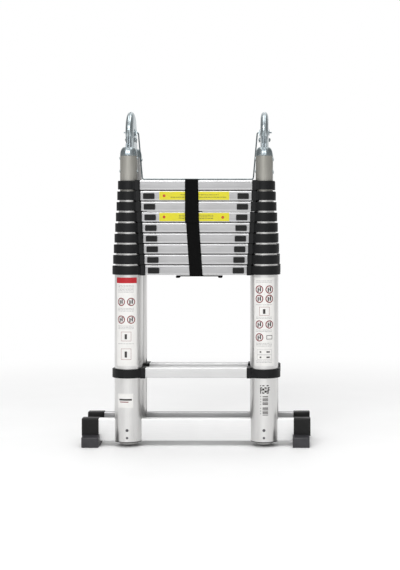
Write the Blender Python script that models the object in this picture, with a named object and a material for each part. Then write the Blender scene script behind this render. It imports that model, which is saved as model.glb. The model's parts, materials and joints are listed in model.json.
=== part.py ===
"""Double telescoping ladder, fully closed and folded, standing on its stabiliser bars.

Two equal sections of nested tubes stand back to back and are joined at the top by a pair of steel hinges.
Metres, +Z up. X runs along the rungs, the front section is at -Y, and the origin is at the middle of the base.
"""

from math import cos, pi, sin

import bmesh
import bpy
from mathutils import Matrix, Vector

# Driving dimensions
STAGES = 9                     # nested tubes in each stile, stage 1 being the outermost
STILE_X = 0.1985               # from the middle of the ladder to a stile's axis
SECTION_Y = 0.060              # from the hinge plane to a section's stile axes
BASE_RADIUS = 0.041            # outside radius of the outermost tube
RADIUS_STEP = 0.002            # how much smaller each inner tube's radius is
TUBE_WALL = 0.0015
STACK_Z = 0.514                # height of the lowest stacked rung's middle
STACK_PITCH = 0.031            # from rung to rung when closed
RUNG_SPACING = 0.300           # from rung to rung when extended
RUNG_HEIGHT = 0.028
RUNG_DEPTH = 0.040
COLLAR_HEIGHT = 0.0255
PIVOT_Z = 0.920                # height of the hinge axis, which lies along X at Y = 0
FOOT_OUTER_X = 0.334           # half the width over the feet

# Tubes, collars and rungs
TUBE_BELOW_COLLAR = 0.380
TUBE_PROUD = 0.0008            # how far a tube's end stands out of its collar
BASE_TUBE_BOTTOM = 0.016
TOP_TUBE_TOP = 0.848
LOWER_RUNG_Z = STACK_Z - RUNG_SPACING
COLLAR_MARGIN = 0.0065         # a collar is a ring this much wider than its tube
COLLAR_INNER_MARGIN = 0.009    # and reaches this far beyond the tube towards the rung
COLLAR_INNER_DEPTH = 0.054
COLLAR_CORNER = 0.003
RUNG_CORNER = 0.005
RUNG_INTO_COLLAR = 0.003
GAP = 0.0003                   # clearance between pieces that touch
SIDES = 16                     # sides of a tube
CORNER_STEPS = 2               # chords in a rounded corner

# Release buttons
BUTTON_LENGTH = 0.033
BUTTON_HEIGHT = 0.017
BUTTON_DEPTH = 0.006
BUTTON_FROM_COLLAR = 0.0085
BUTTON_TRAVEL = 0.010
STEM_LENGTH = 0.012
STEM_HEIGHT = 0.006
STEM_DEPTH = 0.006

# Stabiliser bars and feet
BAR_DEPTH = 0.025
BAR_BOTTOM = 0.015
BAR_TOP = 0.080
BAR_END_X = 0.328
BAR_WALL = 0.002
FOOT_INNER_X = 0.285
FOOT_TOP = 0.0815
FOOT_SLEEVE_DEPTH = 0.034
FOOT_BASE_DEPTH = 0.090
FOOT_SLOPE_TOP = 0.034
FOOT_SLOPE_BOTTOM = 0.029

# Hinges
DISC_RADIUS = 0.061
NECK_RADIUS = 0.015
NECK_Z = 0.870
INNER_HALF = 0.0070            # half the thickness of the front arm's pair of plates
FORK_INNER = 0.0088            # the rear arm's two plates, from and to, from the stile axis
FORK_OUTER = 0.0126
PIVOT_RADIUS = 0.006
PIVOT_BORE = 0.0024
PIVOT_FLANGE_RADIUS = 0.010
PIVOT_FLANGE = 0.002
SHOULDER_TOP = NECK_Z + 0.004
SHOULDER_TOP_RADIUS = 0.013
SHOULDER_STEPS = 4
SPIGOT_BOTTOM = 0.790          # the arm's foot goes this far down inside the top tube

# Release bail
ROD_RADIUS = 0.002
BAIL_STUB_X = 0.220
BAIL_TOP_X = 0.177
BAIL_LOW_X = 0.165
BAIL_RUN_Z = 0.781
BAIL_BEND = 0.006

# Strap and handle
STRAP_X = -0.007
STRAP_WIDTH = 0.038
STRAP_THICKNESS = 0.002
STRAP_CORNER = 0.004
HANDLE_X = 0.009
HANDLE_LENGTH = 0.135
HANDLE_DEPTH = 0.026
HANDLE_THICKNESS = 0.0036
HANDLE_END = 0.013
HANDLE_END_THICKNESS = 0.006


def clear_scene():
    for old in list(bpy.data.objects):
        bpy.data.objects.remove(old, do_unlink=True)


def material(name, colour, roughness, metallic=0.0):
    """A plain finish, made once and shared by every piece that has it."""
    found = bpy.data.materials.get(name)
    if found:
        return found
    made = bpy.data.materials.new(name)
    made.use_nodes = True
    shader = made.node_tree.nodes["Principled BSDF"]
    shader.inputs["Base Color"].default_value = (*colour, 1.0)
    shader.inputs["Roughness"].default_value = roughness
    shader.inputs["Metallic"].default_value = metallic
    made.diffuse_color = (*colour, 1.0)
    return made


def aluminium():
    return material("aluminium", (0.72, 0.72, 0.73), 0.35, 1.0)


def pale_aluminium():
    return material("pale_aluminium", (0.86, 0.86, 0.88), 0.45, 1.0)


def steel():
    return material("steel", (0.55, 0.58, 0.58), 0.30, 1.0)


def black_plastic():
    return material("black_plastic", (0.025, 0.027, 0.027), 0.55)


def black_rubber():
    return material("black_rubber", (0.020, 0.020, 0.020), 0.75)


def black_webbing():
    return material("black_webbing", (0.022, 0.022, 0.024), 0.90)


# Outlines are lists of (u, v) points, anticlockwise.


def circle(radius, sides=SIDES, centre=(0.0, 0.0)):
    """A regular outline whose flats, not its corners, lie on the axes, so that nested ones stay parallel."""
    turns = [2 * pi * (i + 0.5) / sides for i in range(sides)]
    return [(centre[0] + radius * cos(a), centre[1] + radius * sin(a)) for a in turns]


def rounded_rectangle(u_low, u_high, v_low, v_high, corner, steps=CORNER_STEPS):
    corners = ((u_high, v_high, 0), (u_low, v_high, 1), (u_low, v_low, 2), (u_high, v_low, 3))
    outline = []
    for u, v, quarter in corners:
        centre_u = u - corner if u == u_high else u + corner
        centre_v = v - corner if v == v_high else v + corner
        for i in range(steps + 1):
            turn = pi / 2 * (quarter + i / steps)
            outline.append((centre_u + corner * cos(turn), centre_v + corner * sin(turn)))
    return outline


def hull(points):
    """The convex outline round a set of points."""
    ordered = sorted(set(points))

    def half(run):
        kept = []
        for p in run:
            while len(kept) > 1:
                (au, av), (bu, bv) = kept[-2:]
                if (bu - au) * (p[1] - av) - (bv - av) * (p[0] - au) > 1e-12:
                    break
                kept.pop()
            kept.append(p)
        return kept[:-1]

    return half(ordered) + half(reversed(ordered))


# The directions in which an outline can be pulled into a solid.
ALONG_Z = Matrix.Identity(4)
ALONG_X = Matrix(((0, 0, 1, 0), (1, 0, 0, 0), (0, 1, 0, 0), (0, 0, 0, 1)))


def add_object(name, mesh, finish):
    made = bpy.data.objects.new(name, mesh)
    mesh.materials.clear()
    mesh.materials.append(finish)
    bpy.context.collection.objects.link(made)
    mesh.shade_smooth()
    mesh.set_sharp_from_angle(angle=pi / 6)
    return made


def prism(name, outlines, low, high, finish, direction=ALONG_Z):
    """A solid pulled from filled outlines, of which the inner ones are holes, between two heights."""
    flat = bpy.data.curves.new(name, "CURVE")
    flat.dimensions = "2D"
    flat.fill_mode = "BOTH"
    flat.extrude = (high - low) / 2
    for outline in outlines:
        spline = flat.splines.new("POLY")
        spline.points.add(len(outline) - 1)
        for point, (u, v) in zip(spline.points, outline):
            point.co = (u, v, 0.0, 1.0)
        spline.use_cyclic_u = True
    guide = bpy.data.objects.new(name + "_outline", flat)
    mesh = bpy.data.meshes.new_from_object(guide)
    mesh.name = name
    bpy.data.objects.remove(guide)
    bpy.data.curves.remove(flat)
    shape = bmesh.new()
    shape.from_mesh(mesh)
    bmesh.ops.remove_doubles(shape, verts=shape.verts, dist=1e-6)
    bmesh.ops.translate(shape, verts=shape.verts, vec=(0.0, 0.0, (low + high) / 2))
    bmesh.ops.transform(shape, verts=shape.verts, matrix=direction)
    bmesh.ops.recalc_face_normals(shape, faces=shape.faces)
    shape.to_mesh(mesh)
    shape.free()
    return add_object(name, mesh, finish)


def lathe(name, profile, finish, sides=SIDES, direction=ALONG_Z):
    """A turned solid from a closed profile of (radius, height) points; a radius of 0 is a point on the axis."""
    shape = bmesh.new()
    rings = []
    for radius, height in profile:
        if radius == 0:
            rings.append([shape.verts.new((0.0, 0.0, height))] * sides)
        else:
            rings.append([shape.verts.new((u, v, height)) for u, v in circle(radius, sides)])
    for upper, lower in zip(rings, rings[1:] + rings[:1]):
        for i in range(sides):
            j = (i + 1) % sides
            corners = []
            for corner in (upper[i], upper[j], lower[j], lower[i]):
                if corner not in corners:
                    corners.append(corner)
            if len(corners) > 2:
                shape.faces.new(corners)
    bmesh.ops.recalc_face_normals(shape, faces=shape.faces)
    bmesh.ops.transform(shape, verts=shape.verts, matrix=direction)
    mesh = bpy.data.meshes.new(name)
    shape.to_mesh(mesh)
    shape.free()
    return add_object(name, mesh, finish)


def block(name, low, high, finish):
    """A plain box between two corners."""
    outline = [(low[0], low[1]), (high[0], low[1]), (high[0], high[1]), (low[0], high[1])]
    return prism(name, [outline], low[2], high[2], finish)


def combine(target, other, operation):
    """Joins another shape to the target, or cuts it away, and leaves the other shape as a hidden guide."""
    change = target.modifiers.new(operation.lower(), "BOOLEAN")
    change.operation = operation
    change.solver = "EXACT"
    change.object = other
    other.hide_render = True
    other.display_type = "WIRE"
    return target


def section_empty(name, turned):
    """A section hangs from an empty on the hinge axis. The rear one is the front one turned half a circle about Z."""
    frame = bpy.data.objects.new(name, None)
    frame.location.z = PIVOT_Z
    frame.rotation_euler.z = pi if turned else 0.0
    bpy.context.collection.objects.link(frame)
    return frame


def place(piece, frame):
    piece.parent = frame
    piece.matrix_parent_inverse = Matrix.Translation((0.0, 0.0, -PIVOT_Z))
    return piece


def tube_radius(stage):
    return BASE_RADIUS - RADIUS_STEP * (stage - 1)


def rung_z(stage):
    return STACK_Z + STACK_PITCH * (stage - 1)


def side_name(side, frame_side=1):
    """left is at -X as the whole ladder is seen from the front."""
    return "left" if side * frame_side < 0 else "right"


def tube(name, stage, side):
    radius = tube_radius(stage)
    top = rung_z(stage) + COLLAR_HEIGHT / 2 + TUBE_PROUD
    bottom = rung_z(stage) - COLLAR_HEIGHT / 2 - TUBE_BELOW_COLLAR
    if stage == 1:
        bottom = BASE_TUBE_BOTTOM
    if stage == STAGES:
        top = TOP_TUBE_TOP
    axis = (side * STILE_X, -SECTION_Y)
    outlines = [circle(radius, centre=axis), circle(radius - TUBE_WALL, centre=axis)]
    return prism(name, outlines, bottom, top, aluminium())


def base_tube(name, side):
    """The outermost tube, slotted at its foot for the stabiliser bar."""
    made = tube(name, 1, side)
    middle = side * STILE_X
    reach = BASE_RADIUS + 0.01
    half = BAR_DEPTH / 2 + GAP
    low = (middle - reach, -SECTION_Y - half, 0.0)
    high = (middle + reach, -SECTION_Y + half, BAR_TOP + GAP)
    return combine(made, block(name + "_slot", low, high, black_plastic()), "DIFFERENCE")


def collar(name, stage, side, height, hole_radius):
    """The moulded end of a rung, which grips its stage's tube."""
    radius = tube_radius(stage)
    reach = radius + COLLAR_INNER_MARGIN
    half = COLLAR_INNER_DEPTH / 2
    axis = (side * STILE_X, -SECTION_Y)
    corners = [
        (axis[0] - side * (reach - back), axis[1] + across)
        for across, back in ((half, COLLAR_CORNER), (half - COLLAR_CORNER, 0.0),
                             (COLLAR_CORNER - half, 0.0), (-half, COLLAR_CORNER))
    ]
    outline = hull(circle(radius + COLLAR_MARGIN, SIDES + 4, axis) + corners)
    low, high = height - COLLAR_HEIGHT / 2, height + COLLAR_HEIGHT / 2
    return prism(name, [outline, circle(hole_radius, centre=axis)], low, high, black_plastic())


def rung_unit(name, stage, height, clearance=GAP):
    """A rung with its two collars."""
    radius = tube_radius(stage)
    half_length = STILE_X - radius - COLLAR_INNER_MARGIN + RUNG_INTO_COLLAR
    outline = rounded_rectangle(
        -SECTION_Y - RUNG_DEPTH / 2, -SECTION_Y + RUNG_DEPTH / 2,
        height - RUNG_HEIGHT / 2, height + RUNG_HEIGHT / 2, RUNG_CORNER,
    )
    rung = prism(name, [outline], -half_length, half_length, aluminium(), ALONG_X)
    for side in (-1, 1):
        end = collar(f"{name}_collar_{side_name(side)}", stage, side, height, radius + clearance)
        combine(rung, end, "UNION")
    return rung


def stage_unit(name, stage):
    """A whole stage of the rear section in one piece: both tubes, their collars and the rung."""
    unit = rung_unit(name, stage, rung_z(stage), clearance=-TUBE_WALL / 2)
    for side in (-1, 1):
        combine(unit, tube(f"{name}_tube_{side_name(side)}", stage, side), "UNION")
    return unit


def button_x(stage):
    collar_edge = STILE_X - tube_radius(stage) - COLLAR_INNER_MARGIN
    return collar_edge - BUTTON_FROM_COLLAR - BUTTON_LENGTH / 2


def button_slot(name, rung, side):
    """Cuts the slot that a button's stem slides in."""
    outer = button_x(1) + STEM_LENGTH / 2 + GAP
    inner = button_x(1) - STEM_LENGTH / 2 - BUTTON_TRAVEL - GAP
    face = -SECTION_Y - RUNG_DEPTH / 2
    half = STEM_HEIGHT / 2 + GAP
    u_low, u_high = (inner, outer) if side > 0 else (-outer, -inner)
    low = (u_low, face - 0.005, STACK_Z - half)
    high = (u_high, face + STEM_DEPTH + GAP, STACK_Z + half)
    combine(rung, block(name, low, high, black_plastic()), "DIFFERENCE")


def release_button(name, side):
    """A thumb button on the rung's front face, with the stem that draws its lock pin."""
    face = -SECTION_Y - RUNG_DEPTH / 2
    middle = side * button_x(1)
    cap = prism(
        name,
        [rounded_rectangle(middle - BUTTON_LENGTH / 2, middle + BUTTON_LENGTH / 2,
                           STACK_Z - BUTTON_HEIGHT / 2, STACK_Z + BUTTON_HEIGHT / 2, 0.003)],
        -face + GAP, -face + GAP + BUTTON_DEPTH, black_plastic(),
        Matrix(((1, 0, 0, 0), (0, 0, -1, 0), (0, 1, 0, 0), (0, 0, 0, 1))),
    )
    low = (middle - STEM_LENGTH / 2, face - BUTTON_DEPTH / 2, STACK_Z - STEM_HEIGHT / 2)
    high = (middle + STEM_LENGTH / 2, face + STEM_DEPTH, STACK_Z + STEM_HEIGHT / 2)
    return combine(cap, block(name + "_stem", low, high, black_plastic()), "UNION")


def rectangle(middle, half_width, low, high):
    return [(middle - half_width, low), (middle + half_width, low), (middle + half_width, high),
            (middle - half_width, high)]


def stabiliser_bar(name):
    """A rectangular tube, open at both ends."""
    half = BAR_DEPTH / 2
    outer = rectangle(-SECTION_Y, half, BAR_BOTTOM, BAR_TOP)
    inner = rectangle(-SECTION_Y, half - BAR_WALL, BAR_BOTTOM + BAR_WALL, BAR_TOP - BAR_WALL)
    return prism(name, [outer, inner], -BAR_END_X, BAR_END_X, pale_aluminium(), ALONG_X)


def foot(name, side):
    """A rubber foot, with a sleeve over the bar's end and a wide base."""
    half_base = FOOT_BASE_DEPTH / 2
    half_sleeve = FOOT_SLEEVE_DEPTH / 2
    right_half = [(half_base, 0.0), (half_base, FOOT_SLOPE_BOTTOM), (half_sleeve, FOOT_SLOPE_TOP),
                  (half_sleeve, FOOT_TOP)]
    left_half = [(-y, z) for y, z in reversed(right_half)]
    outline = [(y - SECTION_Y, z) for y, z in right_half + left_half]
    u_low, u_high = sorted((side * FOOT_INNER_X, side * FOOT_OUTER_X))
    made = prism(name, [outline], u_low, u_high, black_rubber(), ALONG_X)
    half = BAR_DEPTH / 2 + GAP
    ends = sorted((side * (FOOT_INNER_X - 0.01), side * (BAR_END_X + GAP)))
    low = (ends[0], -SECTION_Y - half, BAR_BOTTOM - GAP)
    high = (ends[1], -SECTION_Y + half, BAR_TOP + GAP)
    return combine(made, block(name + "_pocket", low, high, black_rubber()), "DIFFERENCE")


def arm_foot(name, side):
    """The shoulder that stands on the top tube, with a spigot inside the tube that is riveted to it."""
    outer = tube_radius(STAGES)
    spigot = outer - TUBE_WALL - GAP
    seat = TOP_TUBE_TOP + GAP
    shoulder = []
    for step in range(SHOULDER_STEPS + 1):
        turn = step / SHOULDER_STEPS * pi / 2
        radius = SHOULDER_TOP_RADIUS + (outer - SHOULDER_TOP_RADIUS) * sin(turn)
        shoulder.append((radius, seat + (SHOULDER_TOP - seat) * cos(turn)))
    spigot_outline = [(spigot, seat), (spigot, SPIGOT_BOTTOM), (0.0, SPIGOT_BOTTOM)]
    made = lathe(name, [(0.0, SHOULDER_TOP)] + shoulder + spigot_outline, steel())
    made.data.transform(Matrix.Translation((side * STILE_X, -SECTION_Y, 0.0)))
    return made


def hinge_arm(name, side, plates):
    """A foot with plates that run up to a disc round the pivot."""
    arm = arm_foot(name, side)
    disc = circle(DISC_RADIUS, 2 * SIDES, (0.0, PIVOT_Z))
    neck = circle(NECK_RADIUS, SIDES, (-SECTION_Y, NECK_Z))
    hole = circle(PIVOT_RADIUS + GAP, SIDES, (0.0, PIVOT_Z))
    for number, (low, high) in enumerate(plates, 1):
        plate = prism(f"{name}_plate_{number}", [hull(disc + neck), hole], low, high, steel(), ALONG_X)
        plate.data.transform(Matrix.Translation((side * STILE_X, 0.0, 0.0)))
        combine(arm, plate, "UNION")
    return arm


def pivot(name, side):
    """A hollow rivet through the hinge, which also carries the bail's end."""
    grip = FORK_OUTER + GAP
    end = grip + PIVOT_FLANGE
    profile = [
        (PIVOT_BORE, end), (PIVOT_FLANGE_RADIUS, end), (PIVOT_FLANGE_RADIUS, grip), (PIVOT_RADIUS, grip),
        (PIVOT_RADIUS, -grip), (PIVOT_FLANGE_RADIUS, -grip), (PIVOT_FLANGE_RADIUS, -end), (PIVOT_BORE, -end),
    ]
    made = lathe(name, profile, steel(), direction=ALONG_X)
    made.location = (side * STILE_X, 0.0, PIVOT_Z)
    return made


def bent(corners, bend, steps=5):
    """A route through the corners, each rounded by a curve that starts and ends a bend's length away from it."""
    route = [corners[0]]
    for before, corner, after in zip(corners, corners[1:], corners[2:]):
        start = corner + (before - corner).normalized() * bend
        end = corner + (after - corner).normalized() * bend
        for i in range(steps + 1):
            t = i / steps
            route.append(start * (1 - t) ** 2 + corner * 2 * t * (1 - t) + end * t ** 2)
    return route + [corners[-1]]


def release_bail(name):
    """The bent rod that hangs between the hinges. Its origin is on the hinge axis."""
    half = [(BAIL_STUB_X, 0.0), (BAIL_TOP_X, 0.0), (BAIL_LOW_X, BAIL_RUN_Z - PIVOT_Z)]
    corners = [Vector((-x, 0.0, z)) for x, z in half] + [Vector((x, 0.0, z)) for x, z in reversed(half)]
    route = bent(corners, BAIL_BEND)
    path = bpy.data.curves.new(name, "CURVE")
    path.dimensions = "3D"
    path.bevel_depth = ROD_RADIUS
    path.bevel_resolution = 2
    path.use_fill_caps = True
    spline = path.splines.new("POLY")
    spline.points.add(len(route) - 1)
    for point, place_on_route in zip(spline.points, route):
        point.co = (*place_on_route, 1.0)
    path.materials.append(steel())
    made = bpy.data.objects.new(name, path)
    made.location = (0.0, 0.0, PIVOT_Z)
    bpy.context.collection.objects.link(made)
    return made


def strap(name):
    """A closed loop of webbing round both stacks of rungs."""
    reach = SECTION_Y + RUNG_DEPTH / 2 + GAP
    low = STACK_Z - RUNG_HEIGHT / 2 - GAP
    high = rung_z(STAGES) + RUNG_HEIGHT / 2 + GAP
    thick = STRAP_THICKNESS
    inner = rounded_rectangle(-reach, reach, low, high, STRAP_CORNER)
    outer = rounded_rectangle(-reach - thick, reach + thick, low - thick, high + thick, STRAP_CORNER + thick)
    half = STRAP_WIDTH / 2
    return prism(name, [outer, inner], STRAP_X - half, STRAP_X + half, black_webbing(), ALONG_X)


def carry_handle(name):
    """The flat handle under the strap, with a thicker roll at each end."""
    top = STACK_Z - RUNG_HEIGHT / 2 - GAP - STRAP_THICKNESS - GAP
    front = -SECTION_Y - RUNG_DEPTH / 2
    half = HANDLE_LENGTH / 2
    low = (HANDLE_X - half, front, top - HANDLE_THICKNESS)
    high = (HANDLE_X + half, front + HANDLE_DEPTH, top)
    band = block(name, low, high, black_webbing())
    for side in (-1, 1):
        ends = sorted((HANDLE_X + side * (half - HANDLE_END), HANDLE_X + side * half))
        end_low = (ends[0], front - 0.001, top - HANDLE_END_THICKNESS)
        end_high = (ends[1], front + HANDLE_DEPTH + 0.001, top + GAP)
        roll = block(f"{name}_end_{side_name(side)}", end_low, end_high, black_webbing())
        combine(band, roll, "UNION")
    return band


def build_base(section, frame, turned):
    """Stage 1 of a section: the outermost tubes, their two rungs, the bar, the feet and a pair of buttons."""
    for side in (-1, 1):
        where = side_name(side, -1 if turned else 1)
        place(base_tube(f"{section}_base_tube_{where}", side), frame)
        place(foot(f"{section}_foot_{where}", side), frame)
        place(release_button(f"{section}_release_button_{where}", side), frame)
    place(rung_unit(f"{section}_lower_rung", 1, LOWER_RUNG_Z), frame)
    stacked = place(rung_unit(f"{section}_rung_1", 1, STACK_Z), frame)
    for side in (-1, 1):
        button_slot(f"{section}_button_slot_{side_name(side)}", stacked, side)
    place(stabiliser_bar(f"{section}_stabiliser_bar"), frame)


def build_front_stages(frame):
    for stage in range(2, STAGES + 1):
        for side in (-1, 1):
            place(tube(f"front_tube_{stage}_{side_name(side)}", stage, side), frame)
        place(rung_unit(f"front_rung_{stage}", stage, rung_z(stage)), frame)


def build_rear_stages(frame):
    for stage in range(2, STAGES + 1):
        place(stage_unit(f"rear_stage_{stage}", stage), frame)


def build_hinges(front, rear):
    for side in (-1, 1):
        where = side_name(side)
        place(hinge_arm(f"front_hinge_arm_{where}", side, [(-INNER_HALF, INNER_HALF)]), front)
        fork = [(FORK_INNER, FORK_OUTER), (-FORK_OUTER, -FORK_INNER)]
        place(hinge_arm(f"rear_hinge_arm_{where}", -side, fork), rear)
        pivot(f"hinge_pivot_{where}", side)
    release_bail("release_bail")


def place_guides():
    """A guide hangs from the same empty as the piece that it shapes."""
    for piece in bpy.data.objects:
        if piece.parent:
            for change in piece.modifiers:
                place(change.object, piece.parent)


clear_scene()
front_frame = section_empty("front_section", turned=False)
rear_frame = section_empty("rear_section", turned=True)
build_base("front", front_frame, turned=False)
build_base("rear", rear_frame, turned=True)
build_front_stages(front_frame)
build_rear_stages(rear_frame)
build_hinges(front_frame, rear_frame)
strap("strap")
carry_handle("carry_handle")
place_guides()
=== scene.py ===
"""Looks for the double telescoping ladder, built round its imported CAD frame.

Pieces are made in the front section's place. The rear section's are the same, turned half a circle about Z.
"""

import json
from math import acos, asin, atan2, ceil, cos, degrees, pi, radians, sin, sqrt

import bmesh
import bpy
from mathutils import Matrix, Vector


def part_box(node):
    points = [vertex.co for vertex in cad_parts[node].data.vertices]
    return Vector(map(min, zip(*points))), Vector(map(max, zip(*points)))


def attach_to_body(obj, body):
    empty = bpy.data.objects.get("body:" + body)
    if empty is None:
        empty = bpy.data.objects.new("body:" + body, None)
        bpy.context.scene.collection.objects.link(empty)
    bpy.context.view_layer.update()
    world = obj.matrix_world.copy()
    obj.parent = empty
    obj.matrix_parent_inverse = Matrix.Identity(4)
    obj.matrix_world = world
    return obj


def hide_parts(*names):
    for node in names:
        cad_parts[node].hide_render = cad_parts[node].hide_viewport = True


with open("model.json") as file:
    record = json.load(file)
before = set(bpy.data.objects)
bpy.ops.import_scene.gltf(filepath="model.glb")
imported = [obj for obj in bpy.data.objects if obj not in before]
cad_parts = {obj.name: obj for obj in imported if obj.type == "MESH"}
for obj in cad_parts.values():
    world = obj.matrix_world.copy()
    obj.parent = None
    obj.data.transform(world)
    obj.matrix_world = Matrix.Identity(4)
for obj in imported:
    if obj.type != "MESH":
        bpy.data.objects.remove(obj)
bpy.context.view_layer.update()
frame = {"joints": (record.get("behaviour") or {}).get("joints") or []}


# Places, read from the frame

def middle(node):
    low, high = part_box(node)
    return (low + high) / 2


def joint(name):
    return next(j for j in frame["joints"] if j["name"] == name)


STAGES = 9
CAD_TUBE_SIDES = 16  # the CAD tubes have flats on their axes
STILE_X = middle("front_base_tube_right").x
SECTION_Y = -middle("front_base_tube_right").y
PIVOT_Z = joint("hinge_fold")["pos_m"][2]
RUNG_Z = {stage: middle(f"front_rung_{stage}").z for stage in range(1, STAGES + 1)}
LOWER_RUNG_Z = middle("front_lower_rung").z


def cad_radius(node):
    low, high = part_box(node)
    return (high.x - low.x) / 2 / cos(pi / CAD_TUBE_SIDES)


BASE_RADIUS = cad_radius("front_base_tube_right")
TOP_RADIUS = cad_radius("front_tube_9_right")
RADIUS_STEP = (BASE_RADIUS - TOP_RADIUS) / (STAGES - 1)

# Sizes of the details, in metres
TUBE_WALL = 0.0015
RUNG_HEIGHT = 0.028
RUNG_DEPTH = 0.040
COLLAR_HEIGHT = 0.0255
COLLAR_MARGIN = 0.0065
COLLAR_INNER_MARGIN = 0.009
GAP = 0.0003


def tube_radius(stage):
    return BASE_RADIUS - RADIUS_STEP * (stage - 1)


# Materials

WHITE = (1.0, 1.0, 1.0, 1.0)


def settle(node, **values):
    """Sets a node's inputs by name, with _ for each space."""
    for key, value in values.items():
        node.inputs[key.replace("_", " ")].default_value = value


class Graph:
    """Short names for building a node tree."""

    def __init__(self, tree):
        self.tree = tree
        self.places = self.add("ShaderNodeTexCoord").outputs

    def add(self, kind, **settings):
        node = self.tree.nodes.new(kind)
        for key, value in settings.items():
            setattr(node, key, value)
        return node

    def link(self, source, target):
        self.tree.links.new(source, target)

    def math(self, operation, *values):
        node = self.add("ShaderNodeMath", operation=operation)
        for socket, value in zip(node.inputs, values):
            if isinstance(value, (int, float)):
                socket.default_value = value
            else:
                self.link(value, socket)
        return node.outputs["Value"]

    def along(self, places, axis):
        """One axis of the Object or the Generated coordinates."""
        parts = self.add("ShaderNodeSeparateXYZ")
        self.link(self.places[places], parts.inputs[0])
        return parts.outputs[axis]

    def smooth_step(self, value, **ends):
        node = self.add("ShaderNodeMapRange", interpolation_type="SMOOTHSTEP")
        settle(node, **ends)
        self.link(value, node.inputs["Value"])
        return node.outputs["Result"]

    def mixed_shader(self, share, first, second):
        node = self.add("ShaderNodeMixShader")
        for socket, source in zip(node.inputs, (share, first, second)):
            self.link(source, socket)
        return node.outputs["Shader"]


class Finish(Graph):
    """A material, with the marks that several of them share."""

    def __init__(self, name):
        self.material = bpy.data.materials.new(name)
        self.material.use_nodes = True
        super().__init__(self.material.node_tree)
        self.shader = self.tree.nodes["Principled BSDF"]

    def fixed(self, **values):
        settle(self.shader, **values)

    def stretched(self, scale):
        mapping = self.add("ShaderNodeMapping")
        settle(mapping, Scale=scale)
        self.link(self.places["Object"], mapping.inputs["Vector"])
        return mapping.outputs["Vector"]

    def noise(self, scale, detail, roughness=0.6, stretch=(1.0, 1.0, 1.0)):
        node = self.add("ShaderNodeTexNoise")
        settle(node, Scale=scale, Detail=detail, Roughness=roughness)
        self.link(self.stretched(stretch), node.inputs["Vector"])
        return node.outputs["Fac"]

    def ramp(self, source, stops):
        node = self.add("ShaderNodeValToRGB")
        elements = node.color_ramp.elements
        while len(elements) < len(stops):
            elements.new(0.5)
        for element, (position, colour) in zip(elements, stops):
            element.position = position
            element.color = (*colour, 1.0) if isinstance(colour, tuple) else (colour, colour, colour, 1.0)
        self.link(source, node.inputs["Fac"])
        return node.outputs["Color"]

    def colour(self, source):
        self.link(source, self.shader.inputs["Base Color"])

    def roughness(self, source):
        self.link(source, self.shader.inputs["Roughness"])

    def bump(self, height, strength, distance):
        node = self.add("ShaderNodeBump")
        settle(node, Strength=strength, Distance=distance)
        self.link(height, node.inputs["Height"])
        self.link(node.outputs["Normal"], self.shader.inputs["Normal"])


def anodised(name, dark, light, roughness, draw, metallic=1.0, edge_highlight=None):
    """Satin extrusion: fine lines along the direction of drawing, and soft, uneven sheen.

    If given, the last colour is a painted highlight along a stacked rung's upper and lower edges.
    """
    made = Finish(name)
    made.fixed(Metallic=metallic)
    stretch = [60.0 if axis != draw else 1.0 for axis in "XYZ"]
    lines = made.noise(14.0, 4.0, 0.7, stretch)
    clouds = made.noise(9.0, 2.0)
    mixed = made.math("ADD", made.math("MULTIPLY", lines, 0.6), made.math("MULTIPLY", clouds, 0.4))
    # Painted highlight: brighter bands along each stacked rung's upper and lower edges.
    if edge_highlight:
        tone_and_highlight = made.math("ADD", mixed, made.math("MULTIPLY", rung_highlight_mask(made), 0.4))
        made.colour(made.ramp(tone_and_highlight, [(0.35, dark), (0.60, light), (0.80, edge_highlight)]))
    else:
        made.colour(made.ramp(mixed, [(0.35, dark), (0.65, light)]))
    made.roughness(made.ramp(mixed, [(0.3, roughness - 0.05), (0.7, roughness + 0.07)]))
    made.bump(lines, 0.12, 0.00008)
    return made.material


def rung_highlight_mask(made):
    """Mask of the painted highlight: 1 near a stacked rung's upper and lower edges, and 0 between them."""
    from_first = made.math("SUBTRACT", made.along("Object", "Z"), RUNG_Z[1])
    from_middle = made.math("PINGPONG", from_first, (RUNG_Z[2] - RUNG_Z[1]) / 2)
    return made.smooth_step(from_middle, From_Min=0.0078, From_Max=0.0098)


def moulded(name, dark, light, roughness, shine, grain=900.0):
    """Matte moulded plastic or rubber with a fine spark-eroded grain and paler, handled patches."""
    made = Finish(name)
    made.fixed(Specular_IOR_Level=shine)
    grit = made.noise(grain, 2.0, 0.5)
    patches = made.noise(18.0, 4.0, 0.65)
    made.colour(made.ramp(patches, [(0.3, dark), (0.75, light)]))
    made.roughness(made.ramp(patches, [(0.3, roughness + 0.08), (0.7, roughness - 0.08)]))
    made.bump(grit, 0.25, 0.00012)
    return made.material


def zinc(name, dark, light):
    """Zinc-plated steel, with faint crystal patches and a cold tint."""
    made = Finish(name)
    made.fixed(Metallic=1.0)
    crystals = made.add("ShaderNodeTexVoronoi", feature="SMOOTH_F1")
    settle(crystals, Scale=260.0)
    made.link(made.places["Object"], crystals.inputs["Vector"])
    stains = made.noise(35.0, 5.0, 0.7)
    mixed = made.math("ADD", made.math("MULTIPLY", crystals.outputs["Distance"], 0.12), stains)
    made.colour(made.ramp(mixed, [(0.35, dark), (0.8, light)]))
    made.roughness(made.ramp(stains, [(0.3, 0.24), (0.7, 0.34)]))
    made.bump(stains, 0.05, 0.0001)
    return made.material


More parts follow.
